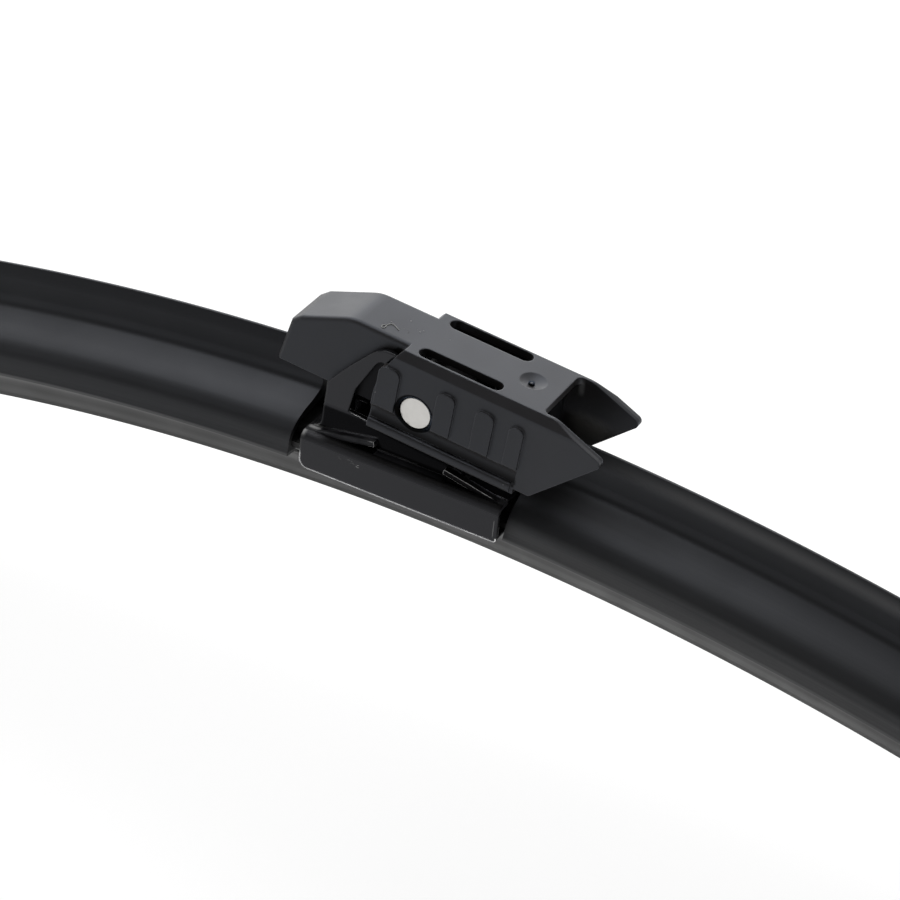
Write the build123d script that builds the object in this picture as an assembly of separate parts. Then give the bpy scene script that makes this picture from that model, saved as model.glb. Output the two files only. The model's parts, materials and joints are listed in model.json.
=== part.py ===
"""Flat wiper blade with a pivoting hook adapter.

Millimetres. The origin is the centre of the pivot rivet, +X runs along the blade towards the open mouth
of the adapter, +Y runs across the blade and +Z points away from the glass.
"""
import os
from math import degrees, hypot

from build123d import *

# the arm's hook, which the adapter and the bracket are made to take
hook_width = 9.0
hook_thickness = 3.0
hook_side_gap = 0.25
hook_round_gap = 0.4

# pivot rivet and the sleeve on it that carries the hook
rivet_diameter = 5.0
rivet_edge = 0.15
rivet_sink = 0.45
press_clearance = 0.02
running_clearance = 0.06
bush_radius = 4.0
bush_end_gap = 0.1

# sheet of the pressed bracket, and how its ears sit in the adapter
sheet = 0.8
ear_clearance = 0.25
ear_margin = 4.4
ear_inner = hook_width / 2 + hook_side_gap
ear_outer = ear_inner + sheet
lobe_radius = rivet_diameter / 2 + ear_margin

# adapter body, in its own axes before it is tipped to its rest angle
rest_tilt = 5.0
plate_thickness = 1.2
plate_gap = 0.4
hook_clearance = bush_radius + hook_thickness + hook_round_gap
plate_under = hook_clearance + plate_gap
plate_top = plate_under + plate_thickness
plate_front = -3.5
body_wall = 0.95
body_inner = ear_outer + ear_clearance
body_half_width = body_inner + body_wall
rivet_half_length = body_half_width - rivet_sink
chamfer_across = 0.8
chamfer_down = 1.35
bore_lead = 0.3

# blade bow and spring rails: every section of the blade is drawn at the crown of the bow
bow_radius = 390.0
half_length = 200.0
rail_bottom = -13.55
rail_thickness = 0.9
rail_inner = 1.35
rail_width = 4.15
rail_gap = 0.05
rail_end_gap = 0.5
rail_top = rail_bottom + rail_thickness
rail_outer = rail_inner + rail_width
bow_axis = Axis((0, 0, rail_bottom - bow_radius), (0, 1, 0))

# wiping rubber
web_gap = 0.1
head_half_width = 3.0
head_height = 1.45
shoulder_half_width = 3.6
shoulder_depth = 1.8
neck_half_width = 0.7
neck_height = 0.9
blade_half_width = 2.7
blade_height = 4.9
lip_root = 0.6
lip_half_width = 0.35
lip_height = 1.15

# bracket
bracket_left = -16.8
bracket_right = 15.3
shelf_height = 3.75
hem_side_gap = 1.1
rail_side_gap = 1.9
skirt_bend = 1.2
skirt_corner = 1.4
skirt_corner_right = 0.4
shelf_top = rail_top + shelf_height
bow_sag = bracket_left**2 / (2 * bow_radius)
skirt_bottom = rail_bottom - bow_sag - rail_gap - sheet
skirt_half_width = rail_outer + rail_side_gap + sheet
hem_inner = shoulder_half_width + hem_side_gap
ear_left = -15.0
ear_flare = 1.7
ear_right = 8.2
ear_arch_x = -5.4
ear_arch_gap = 0.15
well_margin = 0.25
window_right = -5.0
window_width = 5.9
window_low = -5.2
window_sill_rise = 0.8
window_knee_in = 0.8
window_knee_height = -0.4
window_knee_round = 0.9
window_top = 5.6
tongue_gap = 0.15
tongue_rise = 1.9
tongue_left_margin = 1.4
tongue_left_length = 9.6
tongue_right_margin = 0.8
tongue_right_length = 8.9

# adapter mouth, grip and hood
mouth_edge = 18.15
mouth_wall = 1.25
mouth_corner = 1.0
mouth_half_width = body_half_width - mouth_wall
prong_bend = 20.4
prong_tip = 28.15
prong_drop = 3.55
prong_foot = 19.2
prong_foot_rise = 0.9
pad_front = -6.8
pad_end = 16.75
front_bulge = 0.9
rim_gap = 3.6
rim_height = 1.7
rim_depth = 1.4
rim_overhang = 0.45
rim_bottom = shelf_top + rim_gap
cove_radius = 2.2
cove_depth = 0.5
cove_rise = 2.55
rib_spans = ((-6.3, -3.0), (3.0, 5.85), (9.15, 12.05), (14.4, 16.7))
rib_drop = 3.25
rib_rise = 0.4
rib_corner = 1.1
slot_length = 13.2
slot_width = 2.3
slot_centre = 4.7
slot_offset = 4.5
dimple_centre = 13.75
dimple_radius = 2.0
dimple_depth = 0.5
gate_radius = 0.45
hood_ear_gap = 0.25
hood_wall = 0.9
hood_bend = -13.0
hood_nose = -20.9
hood_end = -23.4
hood_drop = 3.5
hood_bottom = -2.75
hood_rear = -3.6
hood_edge = 0.7
nose_apron = 2.0
hood_half_width = ear_inner - hood_ear_gap

# hollow rubber spoiler and end caps
spoiler_wall = 0.9
spoiler_foot = 1.2
foot_side_gap = 1.0
foot_flare = 0.35
base_height = 6.15
crease_rise = 0.5
crease_fill = 1.35
shoulder_drop = 2.8
shoulder_round = 3.5
far_round = 3.2
fin_height = 6.8
fin_offset = 3.0
fin_thickness = 0.5
fin_lean = 1.0
fin_fold = 2.0
fin_fold_lean = 0.9
spoiler_left_gap = 2.2
spoiler_left_slant = 6.0
spoiler_right_gap = 0.4
cap_length = 26.0
cap_wall = 3.0
cap_step = 6.0
side_half_width = rail_outer + spoiler_wall
foot_bottom = rail_bottom - spoiler_foot
foot_inner = shoulder_half_width + foot_side_gap
base_top = rail_bottom + base_height
fin_top = base_top + fin_height
crease = fin_offset - fin_thickness / 2 - fin_lean
crease_height = base_top + crease_rise
shoulder_height = base_top - shoulder_drop
shoulder_slope = (crease_height - shoulder_height) / (crease + side_half_width)


def upright(face, half_width):
    """A face in (x, z) thickened evenly to both sides of the middle plane."""
    return extrude(Plane.XZ * face, half_width, both=True)


def slab(low, high):
    """A box between two corners."""
    size = [b - a for a, b in zip(low, high)]
    middle = [(a + b) / 2 for a, b in zip(low, high)]
    return Pos(*middle) * Box(*size)


def crosswise(radius, length):
    """A cylinder across the blade, centred on the pivot."""
    return Rot(90, 0, 0) * Cylinder(radius, length)


def both_sides(shape):
    """A shape and its mirror image across the middle plane."""
    return [shape, mirror(shape, Plane.XZ)]


def bowed(lines, start, end):
    """A section of (y, z) lines swept along the bow between two lengths measured along the rails."""
    face = Plane.YZ * make_face(lines)
    swept = revolve(face, bow_axis, degrees((end - start) / bow_radius))
    return swept.rotate(bow_axis, degrees(start / bow_radius))


def adapter_outer():
    """Wide body and prongs as one block: side outline crossed with the chamfered cross section."""
    tip_height = plate_top - prong_drop
    foot_height = rim_bottom + prong_foot_rise
    outline = (
        Polyline((plate_front, plate_top), (prong_bend, plate_top), (prong_tip - 0.6, tip_height + 0.75))
        + ThreePointArc(
            (prong_tip - 0.6, tip_height + 0.75), (prong_tip, tip_height), (prong_tip - 0.35, tip_height - 0.75)
        )
        + Polyline(
            (prong_tip - 0.35, tip_height - 0.75),
            (prong_foot, foot_height),
            (pad_end, foot_height),
            (pad_end, rim_bottom),
            (pad_front, rim_bottom),
            (pad_front, rim_bottom + rim_height + cove_rise),
        )
        + SagittaArc((pad_front, rim_bottom + rim_height + cove_rise), (plate_front, plate_top), front_bulge)
    )
    face = make_face(outline)
    face = fillet([v for v in face.vertices() if abs(v.X - prong_bend) < 0.01], 4.0)
    face = fillet([v for v in face.vertices() if abs(v.X - prong_foot) < 0.01], 0.8)
    shoulder = body_half_width - chamfer_across
    across = make_face(
        Polyline(
            (-body_half_width, rim_bottom),
            (-body_half_width, plate_top - chamfer_down),
            (-shoulder, plate_top),
            (shoulder, plate_top),
            (body_half_width, plate_top - chamfer_down),
            (body_half_width, rim_bottom),
            close=True,
        )
    )
    bar = Pos(pad_front, 0, 0) * extrude(Plane.YZ * across, prong_tip - pad_front, dir=(1, 0, 0))
    return upright(face, body_half_width) & bar


def adapter_hollow():
    """Space between the side walls, and the mouth that opens between the prongs."""
    far = 2 * prong_tip
    inside = slab((-far, -body_inner, rim_bottom - 1), (pad_end, body_inner, plate_under))
    throat = slab((pad_front, -mouth_half_width, rim_bottom - 1), (far, mouth_half_width, plate_under))
    outline = Pos((mouth_edge + far) / 2, 0) * RectangleRounded(
        far - mouth_edge, 2 * mouth_half_width, mouth_corner
    )
    mouth = Pos(0, 0, plate_under - plate_thickness) * extrude(outline, 3 * plate_thickness)
    return [inside, throat, mouth]


def finger_rib(low, high):
    """One raised grip rib with rounded upper corners on the near wall."""
    top = plate_top - rib_drop
    bottom = rim_bottom + cove_rise
    face = Pos((low + high) / 2, (top + bottom) / 2) * Rectangle(high - low, top - bottom)
    upper = [v for v in face.vertices() if v.Y > bottom + 1]
    face = fillet(upper, rib_corner)
    return Pos(0, -body_inner, 0) * extrude(Plane.XZ * face, body_wall + rib_rise)


def grip_cove():
    """Shallow cove along the near wall above its rim."""
    depth = body_half_width - cove_depth + cove_radius
    reach = pad_end - pad_front
    return Pos(pad_front + reach / 2, -depth, rim_bottom + cove_rise) * Rot(0, 90, 0) * Cylinder(cove_radius, reach)


def grip_rim():
    """Rolled rim along the bottom of the far wall."""
    face = Pos(body_half_width + rim_overhang - rim_depth / 2, rim_bottom + rim_height / 2) * RectangleRounded(
        rim_depth, rim_height, rim_depth / 2 - 0.05
    )
    return Pos(pad_front + 0.15, 0, 0) * extrude(Plane.YZ * face, pad_end - pad_front - 0.6, dir=(1, 0, 0))


def hood_outer():
    """Nose hood: narrow block that slopes down from the plate, with rounded upper edges."""
    nose_height = plate_top - hood_drop
    face = make_face(
        Polyline(
            (0, plate_top),
            (hood_bend, plate_top),
            (hood_nose, nose_height),
            (hood_end + 1.15, nose_height - 1.2),
            (hood_end, hood_bottom + 0.4),
            (hood_end + 0.4, hood_bottom),
            (0, hood_bottom),
            close=True,
        )
    )
    face = fillet([v for v in face.vertices() if abs(v.X - hood_nose) < 0.01], 1.5)
    face = fillet([v for v in face.vertices() if abs(v.X - hood_bend) < 0.01], 6.0)
    block = upright(face, hood_half_width)
    upper = []
    for edge in block.edges():
        middle = edge.center()
        beside = abs(abs(middle.Y) - hood_half_width) < 0.01
        if beside and middle.Z > hood_bottom + 1 and middle.X < -0.01:
            upper.append(edge)
    return fillet(upper, hood_edge) - slab(
        (hood_rear, -hood_half_width - 1, hood_bottom - 1), (1, hood_half_width + 1, plate_under)
    )


def hood_hollow():
    """Space inside the hood, open below and under the nose apron."""
    nose_height = plate_top - hood_drop
    face = make_face(
        Polyline(
            (0, plate_under),
            (hood_bend + 0.3, plate_under),
            (hood_nose + 0.3, nose_height - 1.1),
            (hood_end + 2.1, nose_height - 2.0),
            (hood_end + 1.7, nose_apron),
            (hood_end - 2, nose_apron),
            (hood_end - 2, hood_bottom - 2),
            (0, hood_bottom - 2),
            close=True,
        )
    )
    return upright(face, hood_half_width - hood_wall)


def plate_slot():
    """One of the long slots through the top plate."""
    return Pos(slot_centre, slot_offset, plate_under - plate_thickness) * extrude(
        SlotOverall(slot_length, slot_width), 3 * plate_thickness
    )


def gate_dimple():
    """Shallow round dish in the top plate around the moulding gate."""
    radius = (dimple_radius**2 + dimple_depth**2) / (2 * dimple_depth)
    return Pos(dimple_centre, 0, plate_top - dimple_depth + radius) * Sphere(radius)


def gate_stub():
    """Broken-off gate standing in the dish."""
    return Pos(dimple_centre - 0.1, -0.3, plate_under + plate_thickness / 2) * Cylinder(
        gate_radius, plate_thickness / 2 - 0.15, align=(Align.CENTER, Align.CENTER, Align.MIN)
    )


def bore_mouth():
    """Lead-in at the outer end of the bore in the near wall."""
    radius = rivet_diameter / 2 + running_clearance
    return Pos(0, -body_half_width, 0) * Rot(90, 0, 0) * Cone(
        radius, radius + bore_lead, bore_lead, align=(Align.CENTER, Align.CENTER, Align.MAX)
    )


def make_adapter():
    """One moulding: plate, ribbed walls with rolled rims, prongs and hood, tipped to its rest angle."""
    body = adapter_outer() - adapter_hollow()
    for low, high in rib_spans:
        body += both_sides(finger_rib(low, high))
    body -= both_sides(grip_cove())
    body += both_sides(grip_rim())
    body += hood_outer()
    body -= hood_hollow()
    body -= crosswise(hook_clearance, 2 * ear_inner)
    body -= both_sides(plate_slot())
    body -= gate_dimple()
    body += gate_stub()
    body -= crosswise(rivet_diameter / 2 + running_clearance, 4 * body_half_width)
    body -= both_sides(bore_mouth())
    return body.rotate(Axis.Y, rest_tilt)


def ear_outline():
    """One ear of the bracket in (x, z): flared strut on the left, arch, and round lobe about the pivot."""
    foot = shelf_top - sheet
    arch_top = plate_under - ear_arch_gap
    flare_left = ear_left - ear_flare
    flare_top = shelf_top + ear_flare
    outline = (
        Line((flare_left, foot), (flare_left, shelf_top))
        + RadiusArc((flare_left, shelf_top), (ear_left, flare_top), -ear_flare)
        + Line((ear_left, flare_top), (ear_left + 0.4, -0.9))
        + Spline(
            (ear_left + 0.4, -0.9),
            (ear_left + 3.9, 3.2),
            (ear_arch_x - 3.4, arch_top - 2.05),
            (ear_arch_x - 1.6, arch_top - 0.45),
            (ear_arch_x, arch_top),
        )
        + Spline((ear_arch_x, arch_top), (-1.0, lobe_radius - 0.07), tangents=((1, 0), (1, 0.145)))
        + RadiusArc((-1.0, lobe_radius - 0.07), (lobe_radius, 0), lobe_radius)
        + Polyline((lobe_radius, 0), (ear_right, foot), (flare_left, foot))
    )
    left = window_right - window_width
    sill = window_low + window_sill_rise
    knee = left + window_knee_in
    window = make_face(
        Polyline((left, sill), (knee, window_knee_height), (window_right - 2.6, window_top - 1.4))
        + Spline(
            (window_right - 2.6, window_top - 1.4),
            (window_right - 1.2, window_top),
            (window_right, window_top - 2),
            tangents=((0.54, 1), (0.1, -1)),
        )
        + Polyline((window_right, window_top - 2), (window_right, window_low), (left, sill))
    )
    window = fillet([v for v in window.vertices() if abs(v.X - knee) < 0.01], window_knee_round)
    return make_face(outline) - window


def folded_channel():
    """Shelf, skirts and hems: a folded section along the bracket with rounded lower corners."""
    middle = (shelf_top + skirt_bottom) / 2
    tall = shelf_top - skirt_bottom
    long = bracket_right - bracket_left
    outside = Pos(0, middle) * Rectangle(2 * skirt_half_width, tall)
    outside = fillet([v for v in outside.vertices() if v.Y > middle], skirt_bend)
    inside = Pos(0, middle) * Rectangle(2 * (skirt_half_width - sheet), tall - 2 * sheet)
    inside = fillet([v for v in inside.vertices() if v.Y > middle], skirt_bend - sheet)
    throat = Pos(0, skirt_bottom) * Rectangle(2 * hem_inner, 4 * sheet)
    channel = Pos(bracket_left, 0, 0) * extrude(Plane.YZ * (outside - inside - throat), long, dir=(1, 0, 0))
    side = Pos(bracket_left + long / 2, middle) * Rectangle(long, tall)
    side = fillet([v for v in side.vertices() if v.Y < middle and v.X < 0], skirt_corner)
    side = fillet([v for v in side.vertices() if v.Y < middle and v.X > bracket_right - 0.01], skirt_corner_right)
    return channel & upright(side, skirt_half_width)


def tongue_strip(root, tip, outer):
    """One lanced tongue on the near side, bent up from its root."""
    toward = 1 if tip > root else -1
    strip = make_face(
        Polyline(
            (root - toward * 0.4, shelf_top),
            (root, shelf_top),
            (tip, shelf_top + tongue_rise),
            (tip + toward * 0.15, shelf_top + tongue_rise - sheet),
            (root, shelf_top - sheet),
            (root - toward * 0.4, shelf_top - sheet),
            close=True,
        )
    )
    inner = ear_outer + tongue_gap
    return Pos(0, -inner, 0) * extrude(Plane.XZ * strip, outer - inner)


def make_bracket():
    """Folded sheet: channel with a well under the adapter, two ears and four lanced tongues."""
    bracket = folded_channel()
    bracket -= slab(
        (ear_left - well_margin, -ear_inner, shelf_top - 2), (ear_right + well_margin, ear_inner, shelf_top + 2)
    )
    bracket += both_sides(Pos(0, -ear_inner, 0) * extrude(Plane.XZ * ear_outline(), sheet))
    bracket -= crosswise(rivet_diameter / 2 + press_clearance, 4 * skirt_half_width)
    left_root = bracket_left + tongue_left_margin
    right_root = bracket_right - tongue_right_margin
    outer = skirt_half_width - skirt_bend - 0.2
    for root, tip in (
        (left_root, left_root + tongue_left_length),
        (right_root, right_root - tongue_right_length),
    ):
        toward = tongue_gap if tip > root else -tongue_gap
        low, high = sorted((root, tip + toward))
        bracket -= both_sides(
            slab((low, ear_outer, shelf_top - 2 * sheet), (high, outer + tongue_gap, shelf_top + 1))
        )
        bracket += both_sides(tongue_strip(root, tip, outer))
    return bracket


def make_rivet():
    """Straight rivet with slightly broken end edges."""
    rivet = crosswise(rivet_diameter / 2, 2 * rivet_half_length)
    rims = [e for e in rivet.edges() if e.geom_type == GeomType.CIRCLE]
    return chamfer(rims, rivet_edge)


def make_bush():
    """Sleeve on the rivet between the ears."""
    length = 2 * (ear_inner - bush_end_gap)
    return crosswise(bush_radius, length) - crosswise(rivet_diameter / 2 + press_clearance, length + 2)


def make_rail(side):
    """One bowed spring strip."""
    inner = side * rail_inner
    outer = side * rail_outer
    lines = Polyline(
        (inner, rail_bottom), (outer, rail_bottom), (outer, rail_top), (inner, rail_top), close=True
    )
    reach = half_length - cap_wall - rail_end_gap
    return bowed(lines, -reach, reach)


def make_rubber():
    """Refill: head, rail grooves, shoulder, neck, tapered blade and lip."""
    groove_top = rail_top + rail_gap
    groove_bottom = rail_bottom - rail_gap
    head_top = rail_top + head_height
    shoulder_bottom = groove_bottom - shoulder_depth
    neck_bottom = shoulder_bottom - neck_height
    lip_top = neck_bottom - blade_height
    web = rail_inner - web_gap
    right = [
        (head_half_width, head_top),
        (head_half_width, groove_top),
        (web, groove_top),
        (web, groove_bottom),
        (shoulder_half_width, groove_bottom),
        (shoulder_half_width, shoulder_bottom),
        (neck_half_width, shoulder_bottom),
        (neck_half_width, neck_bottom),
        (blade_half_width, neck_bottom),
        (blade_half_width, neck_bottom - 0.6),
        (lip_root, lip_top),
        (lip_half_width, lip_top - 0.5),
        (lip_half_width, lip_top - lip_height),
    ]
    left = [(-y, z) for y, z in reversed(right)]
    reach = half_length - cap_wall - rail_end_gap
    return bowed(Polyline(*right, *left, close=True), -reach, reach)


def spoiler_outside():
    """Outer line of the spoiler: flared feet, sloping near shoulder, and a fin folded back towards its top."""
    waist = rail_bottom + rail_gap
    foot = side_half_width + foot_flare
    near = fin_offset - fin_thickness / 2
    far = fin_offset + fin_thickness / 2
    return FilletPolyline(
        (-foot_inner, foot_bottom),
        (-foot, foot_bottom),
        (-side_half_width, waist),
        (-side_half_width, shoulder_height),
        (crease - crease_fill, crease_height - shoulder_slope * crease_fill),
        (crease, crease_height + crease_fill),
        (near - fin_fold_lean, fin_top - fin_fold),
        (near, fin_top),
        (far, fin_top),
        (far, base_top + 0.1),
        (side_half_width, base_top - 1),
        (side_half_width, waist),
        (foot, foot_bottom),
        (foot_inner, foot_bottom),
        radius=(0, 0, shoulder_round, 0, 0, 0, 0, 0, 0, far_round, 0, 0),
    )


def spoiler_hollow():
    """Inner line of the spoiler: space over the rails, its roof sloping with the near shoulder."""
    wide = rail_outer + rail_gap
    low = rail_bottom - rail_gap
    crown = base_top - 0.2 - spoiler_wall
    roof_edge = shoulder_round - side_half_width - 1
    roof_low = crease_height - shoulder_slope * (crease - roof_edge) - spoiler_wall * hypot(1, shoulder_slope)
    return Polyline(
        (foot_inner, foot_bottom),
        (foot_inner, low),
        (wide, low),
        (wide, crown - 2.4),
        (fin_offset, crown),
        (roof_edge, roof_low),
        (-wide, rail_top + 0.25),
        (-wide, low),
        (-foot_inner, low),
        (-foot_inner, foot_bottom),
    )


def make_spoiler(start, end):
    """Hollow spoiler half between two lengths along the bow."""
    return bowed(spoiler_outside() + spoiler_hollow(), start, end)


def make_left_spoiler():
    """Left spoiler half, its end by the bracket cut on a slant across the blade."""
    spoiler = make_spoiler(cap_length - half_length, bracket_left)
    beyond = slab((0, -2 * side_half_width, 2 * foot_bottom), (20, 2 * side_half_width, -foot_bottom))
    return spoiler - Pos(bracket_left - spoiler_left_gap, 0, 0) * Rot(0, 0, -spoiler_left_slant) * beyond


def make_cap(side):
    """Plain end cap: carries the spoiler's outline on, slopes its fin down and closes the end."""
    closed = spoiler_outside() + Line((foot_inner, foot_bottom), (-foot_inner, foot_bottom))
    cap = bowed(spoiler_outside() + spoiler_hollow(), 0, cap_length)
    cap += bowed(closed, cap_length - cap_wall, cap_length)
    slope = make_face(
        Polyline(
            (cap_step, fin_top + 1),
            (cap_step, fin_top),
            (cap_length, base_top + 0.2),
            (2 * cap_length, base_top + 0.2),
            (2 * cap_length, fin_top + 1),
            close=True,
        )
    )
    cap -= upright(slope, side_half_width)
    cap = cap.rotate(bow_axis, degrees((half_length - cap_length) / bow_radius))
    return cap if side > 0 else mirror(cap, Plane.YZ)


parts = {
    "hook_adapter": make_adapter(),
    "connector_bracket": make_bracket(),
    "pivot_rivet": make_rivet(),
    "hook_bush": make_bush(),
    "spring_rail_front": make_rail(-1),
    "spring_rail_rear": make_rail(1),
    "wiping_rubber": make_rubber(),
    "spoiler_left": make_left_spoiler(),
    "spoiler_right": make_spoiler(bracket_right + spoiler_right_gap, half_length - cap_length),
    "end_cap_left": make_cap(-1),
    "end_cap_right": make_cap(1),
}

os.makedirs("parts", exist_ok=True)
for name, shape in parts.items():
    export_step(shape, f"parts/{name}.step")
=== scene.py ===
"""Looks of the flat wiper blade: moulded adapter, painted bracket, rubber spoilers and the lint on top.

Metres, in the frame of the solids: the origin is the centre of the rivet, +X runs along the blade towards
the adapter's mouth, +Y across it and +Z away from the glass.
"""
import json
from math import acos, ceil, cos, pi, radians, sin, tan

import bmesh
import bpy
from mathutils import Matrix, Vector


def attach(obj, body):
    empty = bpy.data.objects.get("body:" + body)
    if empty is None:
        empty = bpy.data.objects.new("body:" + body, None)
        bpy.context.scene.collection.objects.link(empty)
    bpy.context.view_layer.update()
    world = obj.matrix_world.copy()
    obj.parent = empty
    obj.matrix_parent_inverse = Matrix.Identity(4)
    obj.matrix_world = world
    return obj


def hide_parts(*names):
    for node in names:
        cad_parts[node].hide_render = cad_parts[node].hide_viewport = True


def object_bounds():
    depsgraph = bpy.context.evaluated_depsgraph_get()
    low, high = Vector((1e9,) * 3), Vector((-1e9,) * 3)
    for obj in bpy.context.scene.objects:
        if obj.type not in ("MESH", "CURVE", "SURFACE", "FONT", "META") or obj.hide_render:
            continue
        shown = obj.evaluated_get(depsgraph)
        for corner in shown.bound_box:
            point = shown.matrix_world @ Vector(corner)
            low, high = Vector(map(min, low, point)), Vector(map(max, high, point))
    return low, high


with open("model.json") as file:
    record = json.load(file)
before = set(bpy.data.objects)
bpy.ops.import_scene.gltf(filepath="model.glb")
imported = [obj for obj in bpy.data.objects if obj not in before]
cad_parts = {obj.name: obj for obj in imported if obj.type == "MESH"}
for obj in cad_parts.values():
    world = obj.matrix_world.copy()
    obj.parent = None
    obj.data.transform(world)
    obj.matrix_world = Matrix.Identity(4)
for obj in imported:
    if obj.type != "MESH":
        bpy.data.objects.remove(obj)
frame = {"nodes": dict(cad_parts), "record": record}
cad_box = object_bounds()
nodes = frame["nodes"]
MM = 0.001

# camera, as seen in the photograph
camera_azimuth = 25.005
camera_elevation = 34.561
camera_roll = 6.28
camera_distance = 410.47 * MM
camera_aim = Vector((4.33, -2.84, -6.4)) * MM
camera_lens = 116.57
camera_sensor = 36.0

# adapter: its tilt at rest, and places on it in its own axes
adapter_tilt = radians(5.0)
plate_top = 9.0 * MM
rim_top = -3.6 * MM
gate_place = Vector((13.65, -0.3)) * MM
hood_side = 4.5 * MM
wall_middle = 6.1 * MM
rivet_radius = 2.5 * MM

# bow that the rails, the rubber and the spoilers follow
bow_radius = 390.0 * MM
bow_centre = -403.55 * MM
rail_reach = 196.5 * MM
spoiler_far_end = 174.0 * MM
spoiler_left_end = -19.0 * MM
spoiler_left_slant = radians(6.0)
spoiler_right_end = 15.7 * MM
lug_reach = 3.0 * MM

# sections across the blade at the crown of the bow: corners in millimetres as (across, height, round)
spoiler_section = (
    (-4.6, -14.75, 0.0), (-6.75, -14.75, 0.15), (-6.75, -14.35, 0.15), (-6.4, -13.5, 0.4),
    (-5.95, -11.4, 3.0), (-4.35, -9.75, 5.0), (-2.7, -8.85, 8.0), (-0.8, -8.15, 12.0),
    (1.5, -6.97, 1.8), (1.8, -5.55, 2.0), (1.85, -2.6, 3.0), (2.75, -0.6, 0.2),
    (3.25, -0.6, 0.2), (3.25, -7.3, 0.6), (6.4, -8.4, 3.2), (6.4, -13.5, 0.4),
    (6.75, -14.35, 0.15), (6.75, -14.75, 0.15), (4.6, -14.75, 0.0), (4.6, -13.6, 0.0),
    (5.55, -13.6, 0.0), (5.55, -10.9, 0.0), (3.0, -8.5, 0.0), (-3.9, -10.16, 0.0),
    (-5.55, -12.4, 0.0), (-5.55, -13.6, 0.0), (-4.6, -13.6, 0.0),
)
lug_section = ((5.6, -13.5, 0.15), (6.5, -13.5, 0.15), (6.5, -10.0, 0.3), (5.6, -10.0, 0.3))
rubber_half_section = (
    (3.0, -11.2, 0.3), (3.0, -12.6, 0.0), (1.25, -12.6, 0.0), (1.25, -13.6, 0.0),
    (3.6, -13.6, 0.15), (3.6, -15.4, 0.3), (0.7, -15.4, 0.25), (0.7, -16.3, 0.25),
    (2.7, -16.3, 0.2), (2.7, -16.9, 0.4), (0.6, -21.2, 0.3), (0.35, -21.7, 0.2),
    (0.35, -22.35, 0.05),
)

# bracket: outer face of its ears, where they begin to fold out, the round of that fold, and the shelf
ear_outside = 5.55 * MM
ear_fold_top = -4.3 * MM
ear_fold_round = 1.0 * MM
shelf_top = -8.9 * MM

# sweeps: rows along the bow, the widest step round a corner, and the bend that stays a sharp edge
spoiler_rows = 110
rubber_rows = 240
lug_rows = 4
arc_step = radians(7.0)
sharp_bend = radians(28.0)
weld_reach = 0.002 * MM

# dust on the adapter's top: places in its own axes in millimetres, and sizes
fibre_line = (
    (-8.55, -2.61), (-8.86, -2.75), (-8.84, -3.29), (-8.45, -3.47), (-8.29, -3.01),
    (-8.42, -2.67), (-8.27, -2.09), (-8.00, -1.71), (-7.46, -1.80), (-6.98, -2.07),
    (-6.50, -2.34),
)
top_specks = (
    (-6.33, 0.78), (-4.55, -0.50), (-4.04, -0.68), (-3.73, -0.07),
    (0.12, 0.55), (-5.32, -1.84), (-6.11, -1.60), (-8.28, -1.33),
)
fibre_thickness = 0.11 * MM
speck_size = 0.16 * MM
speck_seed = 4

# stage: pale floor just under the blade, room round it, and lamps aimed at the origin
# as (name, place, width and height, power)
floor_size = 6.0
floor_gap = 0.5 * MM
floor_tone = 0.5
floor_glow = 0.65
room_light = 0.2
room_dark = 0.15
lamps = (
    ("back panel", (-0.65, 0.93, 0.53), (1.6, 0.9), 9.2),
    ("overhead softbox", (-0.4, 0.15, 0.88), (1.0, 0.8), 6.5),
)

# the near black of painted shade, painted dark reflections and dark marks
SHADE_AND_MARK_BLACK = (0.003, 0.0028, 0.0025)


def grey(tone):
    """A neutral colour."""
    return (tone, tone, tone)


def tree_link(tree, source, target):
    """Join two sockets of a node tree."""
    tree.links.new(source, target)


def add_node(tree, kind, **settings):
    """A node of one kind with its plain settings."""
    node = tree.nodes.new(kind)
    for name, value in settings.items():
        setattr(node, name, value)
    return node


def math_node(tree, operation, first, second=None, clamp=False):
    """A Math node on sockets or numbers, returning its value socket."""
    node = add_node(tree, "ShaderNodeMath", operation=operation, use_clamp=clamp)
    for socket, value in zip(node.inputs, (first, second)):
        if value is None:
            continue
        if isinstance(value, (int, float)):
            socket.default_value = value
        else:
            tree_link(tree, value, socket)
    return node.outputs[0]


def map_range(tree, value, low, high, new_low=0.0, new_high=1.0):
    """A smooth Map Range node, returning its value socket."""
    node = add_node(tree, "ShaderNodeMapRange", interpolation_type="SMOOTHSTEP")
    tree_link(tree, value, node.inputs["Value"])
    node.inputs["From Min"].default_value = low
    node.inputs["From Max"].default_value = high
    node.inputs["To Min"].default_value = new_low
    node.inputs["To Max"].default_value = new_high
    return node.outputs["Result"]


def within(tree, value, low, high, soft):
    """A mask that is on between two values, with soft ends."""
    return math_node(
        tree,
        "MULTIPLY",
        map_range(tree, value, low - soft, low + soft),
        map_range(tree, value, high + soft, high - soft),
    )


def mix_colour(tree, mask, first, second):
    """A colour mix by a mask, returning its colour socket."""
    node = add_node(tree, "ShaderNodeMix", data_type="RGBA")
    tree_link(tree, mask, node.inputs["Factor"])
    for socket, value in ((node.inputs[6], first), (node.inputs[7], second)):
        if isinstance(value, tuple):
            socket.default_value = (*value, 1.0)
        else:
            tree_link(tree, value, socket)
    return node.outputs[2]


def any_of(tree, *masks):
    """The largest of several masks."""
    result = masks[0]
    for mask in masks[1:]:
        result = math_node(tree, "MAXIMUM", result, mask)
    return result


def all_of(tree, *masks):
    """The product of several masks."""
    result = masks[0]
    for mask in masks[1:]:
        result = math_node(tree, "MULTIPLY", result, mask)
    return result


def length_of(tree, first, second):
    """The long side over two sides at a right angle."""
    first_square = math_node(tree, "POWER", first, 2.0)
    second_square = math_node(tree, "POWER", second, 2.0)
    return math_node(tree, "SQRT", math_node(tree, "ADD", first_square, second_square))


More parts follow.
